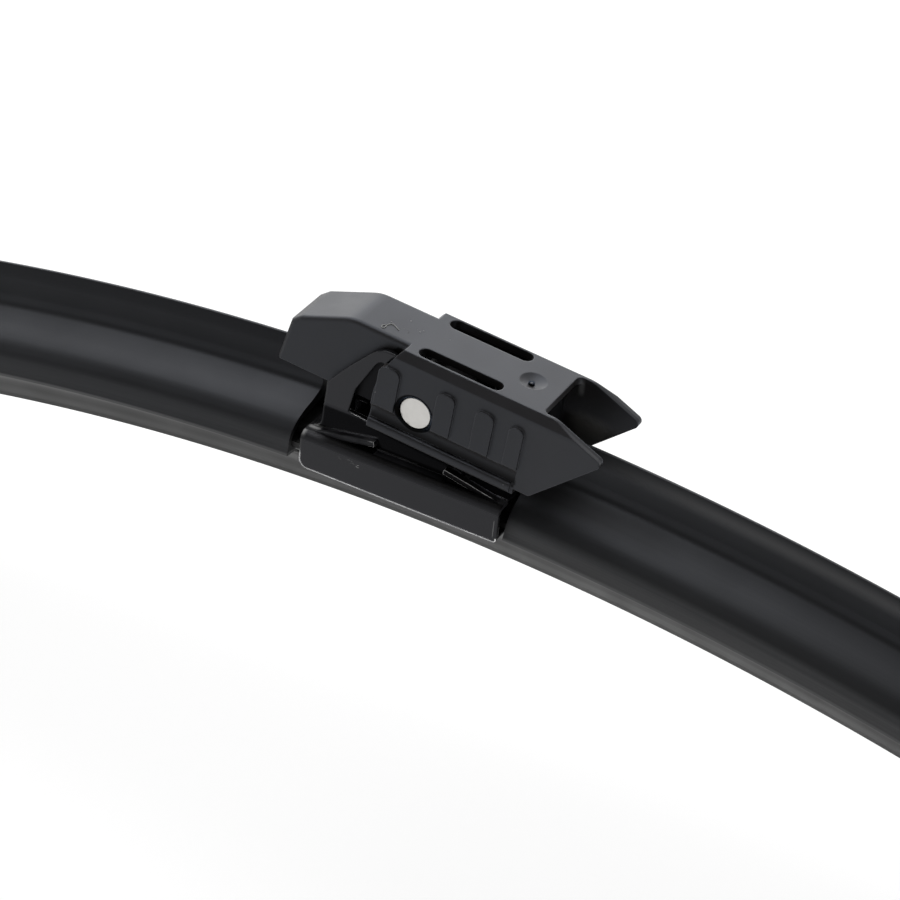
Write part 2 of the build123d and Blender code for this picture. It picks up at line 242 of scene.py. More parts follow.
def weighted(tree, first, share, second, other_share):
    """The sum of two values, each taken by its share."""
    first_part = math_node(tree, "MULTIPLY", first, share)
    second_part = math_node(tree, "MULTIPLY", second, other_share)
    return math_node(tree, "ADD", first_part, second_part)


def stretched_noise(tree, stretches, detail):
    """A noise drawn out by its own scale along each axis: stretches as (axis, coordinate, scale)."""
    spread = add_node(tree, "ShaderNodeCombineXYZ")
    for axis, value, scale in stretches:
        tree_link(tree, math_node(tree, "MULTIPLY", value, scale), spread.inputs[axis])
    noise = add_node(tree, "ShaderNodeTexNoise")
    noise.inputs["Scale"].default_value = 1.0
    noise.inputs["Detail"].default_value = detail
    tree_link(tree, spread.outputs[0], noise.inputs["Vector"])
    return noise.outputs["Fac"]


def new_group(name, inputs, outputs):
    """An empty shader group with named sockets: inputs as (name, default), outputs as (name, kind)."""
    tree = bpy.data.node_groups.new(name, "ShaderNodeTree")
    for label, default in inputs:
        socket = tree.interface.new_socket(label, in_out="INPUT", socket_type="NodeSocketFloat")
        socket.default_value = default
    for label, kind in outputs:
        tree.interface.new_socket(label, in_out="OUTPUT", socket_type=kind)
    return tree, tree.nodes.new("NodeGroupInput"), tree.nodes.new("NodeGroupOutput")


def grain_group():
    """Moulding grain: a fine height and a slow drift of tone, both from Object coordinates."""
    tree, given, made = new_group(
        "moulding grain",
        [("Fine Scale", 4000.0), ("Drift Scale", 60.0)],
        [("Height", "NodeSocketFloat"), ("Drift", "NodeSocketFloat")],
    )
    place = add_node(tree, "ShaderNodeTexCoord").outputs["Object"]
    fine = add_node(tree, "ShaderNodeTexNoise")
    fine.inputs["Detail"].default_value = 3.0
    drift = add_node(tree, "ShaderNodeTexNoise")
    drift.inputs["Detail"].default_value = 4.0
    for node, label in ((fine, "Fine Scale"), (drift, "Drift Scale")):
        tree_link(tree, place, node.inputs["Vector"])
        tree_link(tree, given.outputs[label], node.inputs["Scale"])
    tree_link(tree, fine.outputs["Fac"], made.inputs["Height"])
    tree_link(tree, drift.outputs["Fac"], made.inputs["Drift"])
    return tree


def edge_group():
    """Edges: a softened normal, and a mask of where it leaves the face's own normal."""
    tree, given, made = new_group(
        "worn edges",
        [("Radius", 0.2 * MM), ("Breakup", 0.5)],
        [("Mask", "NodeSocketFloat"), ("Normal", "NodeSocketVector")],
    )
    soft = add_node(tree, "ShaderNodeBevel", samples=6)
    tree_link(tree, given.outputs["Radius"], soft.inputs["Radius"])
    face = add_node(tree, "ShaderNodeNewGeometry")
    turn = add_node(tree, "ShaderNodeVectorMath", operation="DOT_PRODUCT")
    tree_link(tree, soft.outputs["Normal"], turn.inputs[0])
    tree_link(tree, face.outputs["Normal"], turn.inputs[1])
    bend = map_range(tree, turn.outputs["Value"], 0.995, 0.9)
    noise = add_node(tree, "ShaderNodeTexNoise")
    noise.inputs["Scale"].default_value = 900.0
    tree_link(tree, add_node(tree, "ShaderNodeTexCoord").outputs["Object"], noise.inputs["Vector"])
    broken = map_range(tree, noise.outputs["Fac"], 0.35, 0.6)
    kept = math_node(tree, "MULTIPLY", math_node(tree, "SUBTRACT", 1.0, broken), given.outputs["Breakup"])
    mask = math_node(tree, "MULTIPLY", bend, math_node(tree, "SUBTRACT", 1.0, kept), clamp=True)
    tree_link(tree, mask, made.inputs["Mask"])
    tree_link(tree, soft.outputs["Normal"], made.inputs["Normal"])
    return tree


def bow_group():
    """Drawn lines: a streak that runs along the bow of the blade, from Object coordinates."""
    tree, given, made = new_group(
        "lines along the bow",
        [("Line Scale", 3000.0), ("Length Scale", 30.0)],
        [("Line", "NodeSocketFloat")],
    )
    place = add_node(tree, "ShaderNodeSeparateXYZ")
    tree_link(tree, add_node(tree, "ShaderNodeTexCoord").outputs["Object"], place.inputs[0])
    along, across, height = place.outputs
    above = math_node(tree, "SUBTRACT", height, bow_centre)
    angle = math_node(tree, "ARCTAN2", along, above)
    radius = length_of(tree, along, above)
    length = math_node(tree, "MULTIPLY", angle, bow_radius)
    stretches = (
        ("X", length, given.outputs["Length Scale"]),
        ("Y", across, given.outputs["Line Scale"]),
        ("Z", radius, given.outputs["Line Scale"]),
    )
    tree_link(tree, stretched_noise(tree, stretches, 3.0), made.inputs["Line"])
    return tree


def speck_group():
    """Dust: sparse pale specks from Object coordinates."""
    tree, given, made = new_group(
        "dust specks",
        [("Scale", 400.0), ("Size", 0.08)],
        [("Mask", "NodeSocketFloat")],
    )
    cells = add_node(tree, "ShaderNodeTexVoronoi")
    cells.inputs["Randomness"].default_value = 1.0
    tree_link(tree, add_node(tree, "ShaderNodeTexCoord").outputs["Object"], cells.inputs["Vector"])
    tree_link(tree, given.outputs["Scale"], cells.inputs["Scale"])
    near = math_node(tree, "LESS_THAN", cells.outputs["Distance"], given.outputs["Size"])
    chosen = add_node(tree, "ShaderNodeSeparateColor")
    tree_link(tree, cells.outputs["Color"], chosen.inputs[0])
    rare = math_node(tree, "GREATER_THAN", chosen.outputs[0], 0.93)
    tree_link(tree, math_node(tree, "MULTIPLY", near, rare), made.inputs["Mask"])
    return tree


GRAIN = grain_group()
EDGES = edge_group()
BOW_LINES = bow_group()
SPECKS = speck_group()


def place_group(tree, group, **values):
    """A group node in a material, with its own values."""
    node = add_node(tree, "ShaderNodeGroup", node_tree=group)
    for label, value in values.items():
        node.inputs[label.replace("_", " ").title()].default_value = value
    return node


def new_material(name):
    """A material with one Principled shader, returning the material, its tree and the shader."""
    material = bpy.data.materials.new(name)
    material.use_nodes = True
    tree = material.node_tree
    return material, tree, tree.nodes["Principled BSDF"]


def bump(tree, shader, height, strength, depth, normal=None):
    """A bump on the shader's normal."""
    node = add_node(tree, "ShaderNodeBump")
    node.inputs["Strength"].default_value = strength
    node.inputs["Distance"].default_value = depth
    tree_link(tree, height, node.inputs["Height"])
    if normal is not None:
        tree_link(tree, normal, node.inputs["Normal"])
    tree_link(tree, node.outputs["Normal"], shader.inputs["Normal"])


def set_roughness(tree, shader, value, low, high, smooth, rough):
    """The shader's roughness between two values, as a noise goes from low to high."""
    tree_link(tree, map_range(tree, value, low, high, smooth, rough), shader.inputs["Roughness"])


def object_place(tree):
    """The three Object coordinates of a surface point."""
    place = add_node(tree, "ShaderNodeSeparateXYZ")
    tree_link(tree, add_node(tree, "ShaderNodeTexCoord").outputs["Object"], place.inputs[0])
    return place.outputs


def adapter_plastic():
    """Dark grey moulded plastic: fine grain, softened edges, a gate mark, a darker top, painted light and
    shade.
    """
    material, tree, shader = new_material("adapter plastic")
    grain = place_group(tree, GRAIN, fine_scale=5200.0, drift_scale=140.0)
    edges = place_group(tree, EDGES, radius=0.28 * MM, breakup=0.25)
    specks = place_group(tree, SPECKS, scale=330.0, size=0.05)
    along, across, height = object_place(tree)
    aside = math_node(tree, "ABSOLUTE", across)
    lengthways = weighted(tree, along, cos(adapter_tilt), height, -sin(adapter_tilt))
    upright = weighted(tree, along, sin(adapter_tilt), height, cos(adapter_tilt))

    # painted shade round the rivet, behind the ear, above the rim and high in the mouth; a dark gate
    # mark; the top a little darker
    # painted shade in the gap round the rivet
    from_rivet = length_of(tree, along, height)
    ring = map_range(tree, from_rivet, rivet_radius + 0.72 * MM, rivet_radius + 0.5 * MM)
    # painted shade on the hood's side, in the ear's shadow
    behind_ear = all_of(
        tree,
        within(tree, aside, hood_side - 0.1 * MM, hood_side + 0.1 * MM, 0.02 * MM),
        map_range(tree, weighted(tree, height, 1.0, along, -1.1), 13.6 * MM, 13.0 * MM),
        map_range(tree, upright, plate_top - 0.9 * MM, plate_top - 1.2 * MM),
    )
    # painted shade in the cove above the rim
    above_rim = all_of(
        tree,
        map_range(tree, aside, hood_side + 1.2 * MM, hood_side + 1.4 * MM),
        map_range(tree, upright, rim_top - 0.15 * MM, rim_top + 0.1 * MM),
        map_range(tree, upright, rim_top + 2.2 * MM, rim_top + 0.2 * MM, 0.0, 0.8),
        within(tree, along, -6.9 * MM, 16.6 * MM, 0.2 * MM),
    )
    from_gate = length_of(
        tree,
        math_node(tree, "SUBTRACT", lengthways, gate_place.x),
        math_node(tree, "SUBTRACT", across, gate_place.y),
    )
    gate = all_of(
        tree,
        within(tree, from_gate, 0.2 * MM, 0.5 * MM, 0.06 * MM),
        map_range(tree, upright, plate_top - 1.0 * MM, plate_top - 0.9 * MM),
    )
    inside = map_range(tree, aside, wall_middle + 0.1 * MM, wall_middle - 0.1 * MM)
    # painted shade inside the mouth, darker towards the top
    prong_inside = all_of(
        tree,
        inside,
        map_range(tree, along, 19.0 * MM, 23.0 * MM, 0.0, 0.32),
        map_range(tree, upright, 2.0 * MM, 4.5 * MM, 0.3, 1.0),
    )
    # the top a little darker, more towards the rear
    top_darkening = all_of(
        tree,
        map_range(tree, upright, plate_top - 0.2 * MM, plate_top - 0.05 * MM),
        map_range(tree, along, 3.0 * MM, -4.0 * MM, 0.04, 0.11),
    )
    dark_ear = math_node(tree, "MULTIPLY", behind_ear, 0.85)
    marks_and_shade = any_of(tree, ring, dark_ear, above_rim, gate, prong_inside, top_darkening)

    # painted light: the prongs' sides, the lower part of the mouth and a painted highlight in its corner
    # painted light on the prongs' outer sides, paler towards the mouth
    prong_side = all_of(
        tree,
        map_range(tree, aside, wall_middle - 0.1 * MM, wall_middle + 0.1 * MM),
        map_range(tree, along, 8.0 * MM, 22.0 * MM),
        map_range(tree, upright, plate_top - 1.2 * MM, plate_top - 2.2 * MM),
    )
    # painted light low inside the mouth
    mouth_low_light = all_of(
        tree,
        inside,
        map_range(tree, along, 17.3 * MM, 20.3 * MM),
        map_range(tree, along, 25.6 * MM, 22.6 * MM, 0.3, 1.0),
        map_range(tree, upright, 4.4 * MM, 1.4 * MM),
    )
    # painted highlight in the mouth's far inner corner
    mouth_corner_highlight = all_of(
        tree,
        within(tree, along, 19.1 * MM, 19.8 * MM, 0.3 * MM),
        within(tree, across, 5.2 * MM, 5.7 * MM, 0.2 * MM),
        within(tree, height, 4.6 * MM, 6.8 * MM, 0.6 * MM),
    )

    moulded = mix_colour(tree, grain.outputs["Drift"], (0.0200, 0.0176, 0.0166), (0.0262, 0.0234, 0.0220))
    painted_paler = mix_colour(tree, prong_side, moulded, (0.042, 0.039, 0.038))
    tone = mix_colour(tree, mouth_low_light, painted_paler, (0.16, 0.153, 0.144))
    lit = mix_colour(tree, mouth_corner_highlight, tone, grey(0.22))
    # painted highlight along the edges
    highlit_and_worn = mix_colour(tree, edges.outputs["Mask"], lit, (0.07, 0.07, 0.074))
    dusted = mix_colour(tree, specks.outputs["Mask"], highlit_and_worn, grey(0.14))
    tree_link(tree, mix_colour(tree, marks_and_shade, dusted, SHADE_AND_MARK_BLACK), shader.inputs["Base Color"])
    tree_link(tree, marks_and_shade, shader.inputs["Metallic"])
    set_roughness(tree, shader, grain.outputs["Drift"], 0.25, 0.75, 0.38, 0.46)
    shader.inputs["Specular IOR Level"].default_value = 0.38
    shader.inputs["Specular Tint"].default_value = (0.75, 0.84, 1.0, 1.0)
    bump(tree, shader, grain.outputs["Height"], 0.35, 0.02 * MM, edges.outputs["Normal"])
    return material


def bracket_paint():
    """Gloss black paint on steel, bare at the skirts' lower edges, with painted highlights on the
    tongues, the sill and the folds, and painted shade low down.
    """
    material, tree, shader = new_material("bracket paint")
    grain = place_group(tree, GRAIN, fine_scale=900.0, drift_scale=220.0)
    edges = place_group(tree, EDGES, radius=0.46 * MM, breakup=0.2)
    fine_edges = place_group(tree, EDGES, radius=0.16 * MM, breakup=0.3)
    along, across, height = object_place(tree)
    aside = math_node(tree, "ABSOLUTE", across)

    # bare steel where the paint is scuffed or gone, and painted highlights on edges, folds and corners
    # bare steel at the skirts' lower edges and right ends, painted bright as a highlight
    skirt_edge = all_of(
        tree,
        map_range(tree, aside, 7.7 * MM, 7.8 * MM),
        map_range(tree, height, -11.6 * MM, -12.6 * MM),
        any_of(
            tree,
            map_range(tree, along, 15.0 * MM, 14.8 * MM),
            map_range(tree, height, -13.9 * MM, -14.2 * MM),
        ),
        edges.outputs["Mask"],
    )
    # painted highlight along the tongues' edges
    tongue_edge = all_of(
        tree,
        within(tree, aside, ear_outside + 0.5 * MM, 7.3 * MM, 0.1 * MM),
        map_range(tree, height, shelf_top + 0.15 * MM, shelf_top + 0.3 * MM),
        map_range(tree, along, -7.0 * MM, -6.2 * MM, 0.0, 0.7),
        fine_edges.outputs["Mask"],
    )
    # painted highlight along the ear window's sill
    sill = all_of(
        tree,
        within(tree, along, -10.6 * MM, -5.0 * MM, 0.3 * MM),
        within(tree, height, -5.6 * MM, -4.25 * MM, 0.1 * MM),
        map_range(tree, aside, ear_outside + 0.1 * MM, ear_outside, 0.0, 0.45),
        fine_edges.outputs["Mask"],
    )
    # painted highlight on the fold at the ears' left foot
    flare = all_of(
        tree,
        within(tree, along, -16.6 * MM, -14.9 * MM, 0.4 * MM),
        within(tree, aside, 5.7 * MM, 6.3 * MM, 0.25 * MM),
        map_range(tree, height, shelf_top - 0.4 * MM, shelf_top - 0.2 * MM, 0.0, 0.3),
    )
    # painted highlight on the skirts' upper left corner
    corner = all_of(
        tree,
        map_range(tree, along, -16.0 * MM, -16.6 * MM),
        within(tree, aside, 7.1 * MM, 8.0 * MM, 0.2 * MM),
        map_range(tree, height, shelf_top - 1.5 * MM, shelf_top - 0.8 * MM, 0.0, 0.25),
    )
    streak = stretched_noise(tree, (("X", along, 900.0), ("Z", height, 5200.0)), 2.0)
    near_face = map_range(tree, across, -7.9 * MM, -8.1 * MM)
    scuffed = all_of(
        tree,
        map_range(tree, streak, 0.56, 0.66),
        within(tree, along, -10.2 * MM, -6.6 * MM, 0.5 * MM),
        within(tree, height, -11.2 * MM, -10.5 * MM, 0.2 * MM),
        near_face,
    )
    # faint painted highlight along the window's edges
    window_edge = all_of(
        tree,
        within(tree, along, -11.6 * MM, -7.0 * MM, 0.3 * MM),
        map_range(tree, height, -4.0 * MM, -3.0 * MM),
        map_range(tree, aside, ear_outside - 0.15 * MM, ear_outside - 0.05 * MM, 0.0, 0.07),
        fine_edges.outputs["Mask"],
    )
    # painted highlight strip on the skirt's bent right end
    painted_paler = all_of(
        tree,
        within(tree, along, 14.68 * MM, 14.82 * MM, 0.06 * MM),
        within(tree, height, -13.9 * MM, -11.2 * MM, 0.4 * MM),
        near_face,
    )
    wear_and_highlights = any_of(
        tree,
        skirt_edge,
        tongue_edge,
        sill,
        flare,
        corner,
        window_edge,
        math_node(tree, "MULTIPLY", scuffed, 0.35),
        math_node(tree, "MULTIPLY", painted_paler, 0.22),
    )

    # painted shade and painted dark reflections: on the tongues' tops, in streaks on the left one, along
    # the bend of the shelf and at the foot of the ears
    on_tongue = all_of(
        tree,
        within(tree, aside, ear_outside + 0.1 * MM, 7.0 * MM, 0.1 * MM),
        map_range(tree, height, shelf_top - 0.1 * MM, shelf_top + 0.1 * MM),
    )
    drawn_streaks = stretched_noise(tree, (("X", along, 260.0), ("Y", across, 1700.0)), 3.0)
    left_tongue_streaks = all_of(
        tree,
        map_range(tree, along, -6.6 * MM, -8.6 * MM, 0.1, 0.95),
        map_range(tree, drawn_streaks, 0.36, 0.56),
    )
    right_tongue_shade = map_range(tree, along, 4.0 * MM, 5.0 * MM, 0.0, 0.85)
    tongue_darkening = math_node(tree, "MULTIPLY", on_tongue, any_of(tree, left_tongue_streaks, right_tongue_shade))
    bend_shade = all_of(
        tree,
        map_range(tree, aside, 6.8 * MM, 7.0 * MM),
        map_range(tree, height, shelf_top - 0.55 * MM, shelf_top - 0.2 * MM),
        map_range(tree, along, -15.0 * MM, -12.5 * MM, 0.0, 0.85),
    )
    on_ear = within(tree, aside, ear_outside - 0.05 * MM, ear_outside + 0.05 * MM, 0.02 * MM)
    ear_foot_shade = all_of(
        tree,
        on_ear,
        map_range(tree, height, shelf_top + 0.75 * MM, shelf_top + 0.4 * MM, 0.0, 0.8),
    )
    shade_and_streaks = any_of(tree, tongue_darkening, bend_shade, ear_foot_shade)

    # painted glint on the far ear's inner edge, seen through the window
    far_edge_glint = all_of(
        tree,
        within(tree, along, -14.7 * MM, -13.4 * MM, 0.3 * MM),
        within(tree, height, -9.72 * MM, -9.5 * MM, 0.04 * MM),
        within(tree, across, 4.6 * MM, 4.9 * MM, 0.05 * MM),
    )
    paint = mix_colour(tree, grain.outputs["Drift"], (0.006, 0.006, 0.0067), (0.010, 0.010, 0.0108))
    darkened = mix_colour(tree, shade_and_streaks, paint, SHADE_AND_MARK_BLACK)
    glinted = mix_colour(tree, far_edge_glint, darkened, (0.9, 0.9, 0.88))
    tree_link(tree, mix_colour(tree, wear_and_highlights, glinted, (0.92, 0.92, 0.91)), shader.inputs["Base Color"])
    tree_link(tree, any_of(tree, wear_and_highlights, shade_and_streaks), shader.inputs["Metallic"])

    # gloss paint, duller on the shelf
    gloss = map_range(tree, grain.outputs["Drift"], 0.3, 0.7, 0.08, 0.17)
    dulled = all_of(
        tree,
        map_range(tree, aside, ear_outside + 0.1 * MM, ear_outside + 0.2 * MM),
        map_range(tree, height, shelf_top - 1.5 * MM, shelf_top - 0.9 * MM),
    )
    rough = math_node(tree, "ADD", gloss, math_node(tree, "MULTIPLY", dulled, 0.42))
    tree_link(tree, rough, shader.inputs["Roughness"])
    shader.inputs["Specular IOR Level"].default_value = 0.33
    shader.inputs["Specular Tint"].default_value = (0.91, 0.92, 1.0, 1.0)

    # the ears' foot, dished towards the fold
    drop = math_node(tree, "MAXIMUM", math_node(tree, "SUBTRACT", ear_fold_top, height), 0.0)
    fold = math_node(tree, "MULTIPLY", length_of(tree, drop, ear_fold_round), on_ear)
    folded = add_node(tree, "ShaderNodeBump")
    folded.inputs["Distance"].default_value = 1.0
    tree_link(tree, fold, folded.inputs["Height"])
    tree_link(tree, edges.outputs["Normal"], folded.inputs["Normal"])
    bump(tree, shader, grain.outputs["Height"], 0.2, 0.04 * MM, folded.outputs["Normal"])
    return material


def rivet_steel():
    """Bright steel with small dents and painted shade on the lower side of its rim."""
    material, tree, shader = new_material("rivet steel")
    grain = place_group(tree, GRAIN, fine_scale=2600.0, drift_scale=700.0)
    along, _, height = object_place(tree)
    # painted shade on the lower side of the rim
    rim = map_range(tree, length_of(tree, along, height), 0.74 * rivet_radius, 0.98 * rivet_radius)
    low_side = map_range(tree, math_node(tree, "ADD", along, height), 1.2 * MM, -2.4 * MM)
    low_rim_shade = all_of(tree, rim, low_side, map_range(tree, grain.outputs["Drift"], 0.38, 0.62))
    tone = mix_colour(tree, grain.outputs["Drift"], (0.46, 0.45, 0.43), (0.68, 0.67, 0.65))
    tree_link(tree, mix_colour(tree, low_rim_shade, tone, (0.11, 0.10, 0.09)), shader.inputs["Base Color"])
    shader.inputs["Metallic"].default_value = 1.0
    set_roughness(tree, shader, grain.outputs["Drift"], 0.3, 0.7, 0.28, 0.42)
    bump(tree, shader, grain.outputs["Height"], 0.3, 0.03 * MM)
    return material


def rail_steel():
    """Black coated spring steel with lines along the strip."""
    material, tree, shader = new_material("rail steel")
    lines = place_group(tree, BOW_LINES, line_scale=2600.0, length_scale=40.0)
    tone = mix_colour(tree, lines.outputs["Line"], (0.010, 0.010, 0.0105), (0.032, 0.032, 0.033))
    tree_link(tree, tone, shader.inputs["Base Color"])
    set_roughness(tree, shader, lines.outputs["Line"], 0.3, 0.7, 0.35, 0.5)
    shader.inputs["Specular IOR Level"].default_value = 0.3
    bump(tree, shader, lines.outputs["Line"], 0.2, 0.02 * MM)
    return material


def spoiler_rubber():
    """Black extruded rubber with a soft bluish sheen, faint lines along it, a paler foot and painted
    light and shade.
    """
    material, tree, shader = new_material("spoiler rubber")
    lines = place_group(tree, BOW_LINES, line_scale=1500.0, length_scale=14.0)
    grain = place_group(tree, GRAIN, fine_scale=3600.0, drift_scale=90.0)
    specks = place_group(tree, SPECKS, scale=220.0, size=0.035)
    along, _, height = object_place(tree)
    from_centre = length_of(tree, along, math_node(tree, "SUBTRACT", height, bow_centre))
    # painted light: the rubber lighter towards the right
    right_light = map_range(tree, along, -30.0 * MM, 50.0 * MM)
    # the foot paler, and painted paler still towards the right
    foot = all_of(
        tree,
        map_range(tree, from_centre, bow_radius + 3.0 * MM, bow_radius + 0.4 * MM),
        map_range(tree, along, -40.0 * MM, 20.0 * MM, 0.3, 1.0),
    )
    shaded_left_tone = mix_colour(tree, lines.outputs["Line"], (0.0085, 0.0085, 0.0089), (0.0125, 0.0125, 0.0131))
    lit_right_tone = mix_colour(tree, lines.outputs["Line"], (0.0150, 0.0150, 0.0155), (0.0225, 0.0225, 0.0230))
    tone = mix_colour(tree, right_light, shaded_left_tone, lit_right_tone)
    pale_foot_tone = mix_colour(tree, lines.outputs["Line"], grey(0.040), grey(0.150))
    # painted highlight along the fin below its ridge, on the right
    fin_highlight = all_of(
        tree,
        within(tree, from_centre, bow_radius + 10.9 * MM, bow_radius + 12.3 * MM, 0.8 * MM),
        map_range(tree, along, 20.0 * MM, 44.0 * MM, 0.0, 0.8),
    )
    fin_highlighted = mix_colour(tree, fin_highlight, tone, (0.14, 0.14, 0.142))
    painted_paler = mix_colour(tree, foot, fin_highlighted, pale_foot_tone)
    # painted highlight along the foot's lower edge
    foot_lip_highlight = map_range(tree, from_centre, bow_radius - 0.55 * MM, bow_radius - 0.85 * MM, 0.0, 0.8)
    banded = mix_colour(tree, foot_lip_highlight, painted_paler, grey(0.2))
    dusted = mix_colour(tree, specks.outputs["Mask"], banded, grey(0.12))
    # painted shade beside the bracket and on the left fin
    beside_bracket = all_of(
        tree,
        map_range(tree, along, 56.0 * MM, 18.0 * MM, 0.0, 0.7),
        map_range(tree, along, 0.0, 10.0 * MM),
        within(tree, from_centre, bow_radius + 4.6 * MM, bow_radius + 6.3 * MM, 0.6 * MM),
    )
    left_fin = all_of(
        tree,
        map_range(tree, from_centre, bow_radius + 7.0 * MM, bow_radius + 9.0 * MM),
        map_range(tree, along, 0.0, -12.0 * MM, 0.0, 0.2),
    )
    shade = any_of(tree, beside_bracket, left_fin)
    tree_link(tree, mix_colour(tree, shade, dusted, grey(0.003)), shader.inputs["Base Color"])
    tree_link(tree, shade, shader.inputs["Metallic"])
    set_roughness(tree, shader, grain.outputs["Drift"], 0.25, 0.75, 0.42, 0.5)
    shader.inputs["Specular IOR Level"].default_value = 0.31
    shader.inputs["Specular Tint"].default_value = (0.86, 0.90, 1.0, 1.0)
    pores = math_node(tree, "MULTIPLY", grain.outputs["Height"], 0.5)
    bump(tree, shader, math_node(tree, "ADD", lines.outputs["Line"], pores), 0.25, 0.03 * MM)
    return material


def wiper_rubber():
    """Black rubber, grey with graphite below the rails, fine lines along the lip, painted lighter to the
    right and under the foot.
    """
    material, tree, shader = new_material("graphite rubber")
    lines = place_group(tree, BOW_LINES, line_scale=2400.0, length_scale=25.0)
    grain = place_group(tree, GRAIN, fine_scale=2600.0, drift_scale=160.0)
    along, _, height = object_place(tree)
    from_centre = length_of(tree, along, math_node(tree, "SUBTRACT", height, bow_centre))
    coated = map_range(tree, from_centre, bow_radius + 0.3 * MM, bow_radius - 0.1 * MM)
    # painted light: the graphite lighter towards the right
    left_in_shade = mix_colour(tree, lines.outputs["Line"], grey(0.15), grey(0.28))
    right_in_light = mix_colour(tree, lines.outputs["Line"], grey(0.28), grey(0.62))
    tone = mix_colour(tree, map_range(tree, along, -30.0 * MM, 30.0 * MM), left_in_shade, right_in_light)
    mottled = mix_colour(tree, grain.outputs["Drift"], tone, grey(0.26))
    middle = within(tree, from_centre, bow_radius - 6.8 * MM, bow_radius - 5.2 * MM, 0.7 * MM)
    banded = mix_colour(tree, math_node(tree, "MULTIPLY", middle, 0.47), mottled, grey(0.12))
    # painted light lifting the shade under the spoiler's foot
    under_foot = map_range(tree, from_centre, bow_radius - 5.0 * MM, bow_radius - 4.2 * MM, 0.0, 0.2)
    painted_light_under_foot = mix_colour(tree, under_foot, banded, grey(0.85))
    finish = mix_colour(tree, coated, (0.014, 0.014, 0.015), painted_light_under_foot)
    tree_link(tree, finish, shader.inputs["Base Color"])
    set_roughness(tree, shader, grain.outputs["Drift"], 0.3, 0.7, 0.6, 0.75)
    shader.inputs["Specular IOR Level"].default_value = 0.2
    bump(tree, shader, lines.outputs["Line"], 0.3, 0.03 * MM)
    return material


def cap_plastic(name, dark, light):
    """Black satin plastic of the end caps and the sleeve."""
    material, tree, shader = new_material(name)
    grain = place_group(tree, GRAIN, fine_scale=4200.0, drift_scale=120.0)
    edges = place_group(tree, EDGES, radius=0.5 * MM, breakup=0.2)
    tree_link(tree, mix_colour(tree, grain.outputs["Drift"], dark, light), shader.inputs["Base Color"])
    set_roughness(tree, shader, grain.outputs["Drift"], 0.3, 0.7, 0.42, 0.52)
    shader.inputs["Specular IOR Level"].default_value = 0.25
    bump(tree, shader, grain.outputs["Height"], 0.3, 0.02 * MM, edges.outputs["Normal"])
    return material


def dust_fluff():
    """Pale dull lint."""
    material, tree, shader = new_material("dust")
    grain = place_group(tree, GRAIN, fine_scale=9000.0, drift_scale=2000.0)
    tone = mix_colour(tree, grain.outputs["Drift"], (0.38, 0.38, 0.37), (0.62, 0.62, 0.60))
    tree_link(tree, tone, shader.inputs["Base Color"])
    set_roughness(tree, shader, grain.outputs["Height"], 0.3, 0.7, 0.8, 0.95)
    shader.inputs["Specular IOR Level"].default_value = 0.1
    return material


finishes = {
    "adapter_plastic": adapter_plastic(),
    "bracket_paint": bracket_paint(),
    "rivet_steel": rivet_steel(),
    "rail_steel": rail_steel(),
    "spoiler_rubber": spoiler_rubber(),
    "wiper_rubber": wiper_rubber(),
    "cap_plastic": cap_plastic("cap plastic", (0.013, 0.013, 0.014), (0.019, 0.019, 0.02)),
    "bush_plastic": cap_plastic("bush plastic", (0.02, 0.02, 0.021), (0.03, 0.03, 0.031)),
}
for part in frame["record"]["subparts"]:
    slots = nodes[part["node"]].data.materials
    slots.clear()
    slots.append(finishes[part["material_slot"]])


def new_shape_tree(name, inputs):
    """A Geometry Nodes tree with named inputs, given as (name, socket kind)."""
    tree = bpy.data.node_groups.new(name, "GeometryNodeTree")
    tree.is_modifier = True
    tree.interface.new_socket("Geometry", in_out="INPUT", socket_type="NodeSocketGeometry")
    for label, kind in inputs:
        tree.interface.new_socket(label, in_out="INPUT", socket_type=kind)
    tree.interface.new_socket("Geometry", in_out="OUTPUT", socket_type="NodeSocketGeometry")
    return tree, tree.nodes.new("NodeGroupInput"), tree.nodes.new("NodeGroupOutput")


def finish_tree(tree, given, made, geometry):
    """End a shape tree: real faces, smooth shading and the piece's finish."""
    real = add_node(tree, "GeometryNodeRealizeInstances")
    smooth = add_node(tree, "GeometryNodeSetShadeSmooth")
    finish = add_node(tree, "GeometryNodeSetMaterial")
    tree_link(tree, geometry, real.inputs["Geometry"])
    tree_link(tree, real.outputs[0], smooth.inputs["Geometry"])
    tree_link(tree, smooth.outputs[0], finish.inputs["Geometry"])
    tree_link(tree, given.outputs["Material"], finish.inputs["Material"])
    tree_link(tree, finish.outputs[0], made.inputs["Geometry"])


def turned_place(tree, place, angle, centre):
    """A place of the crown's section turned about the centre of the bow."""
    parts = add_node(tree, "ShaderNodeSeparateXYZ")
    tree_link(tree, place, parts.inputs[0])
    radius = math_node(tree, "SUBTRACT", parts.outputs["Z"], centre)
    turned = add_node(tree, "ShaderNodeCombineXYZ")
    along = math_node(tree, "MULTIPLY", radius, math_node(tree, "SINE", angle))
    above = math_node(tree, "MULTIPLY", radius, math_node(tree, "COSINE", angle))
    tree_link(tree, along, turned.inputs["X"])
    tree_link(tree, parts.outputs["Y"], turned.inputs["Y"])
    tree_link(tree, math_node(tree, "ADD", above, centre), turned.inputs["Z"])
    return turned.outputs[0]


def moved(tree, geometry, place):
    """A geometry with its points put at new places."""
    node = add_node(tree, "GeometryNodeSetPosition")
    tree_link(tree, geometry, node.inputs["Geometry"])
    tree_link(tree, place, node.inputs["Position"])
    return node.outputs["Geometry"]


def slanted_end(tree, place, end, slant):
    """The end angle of a sweep at a place of its section, which a slant shifts across the blade."""
    parts = add_node(tree, "ShaderNodeSeparateXYZ")
    tree_link(tree, place, parts.inputs[0])
    return math_node(tree, "ADD", end, math_node(tree, "MULTIPLY", parts.outputs["Y"], slant))


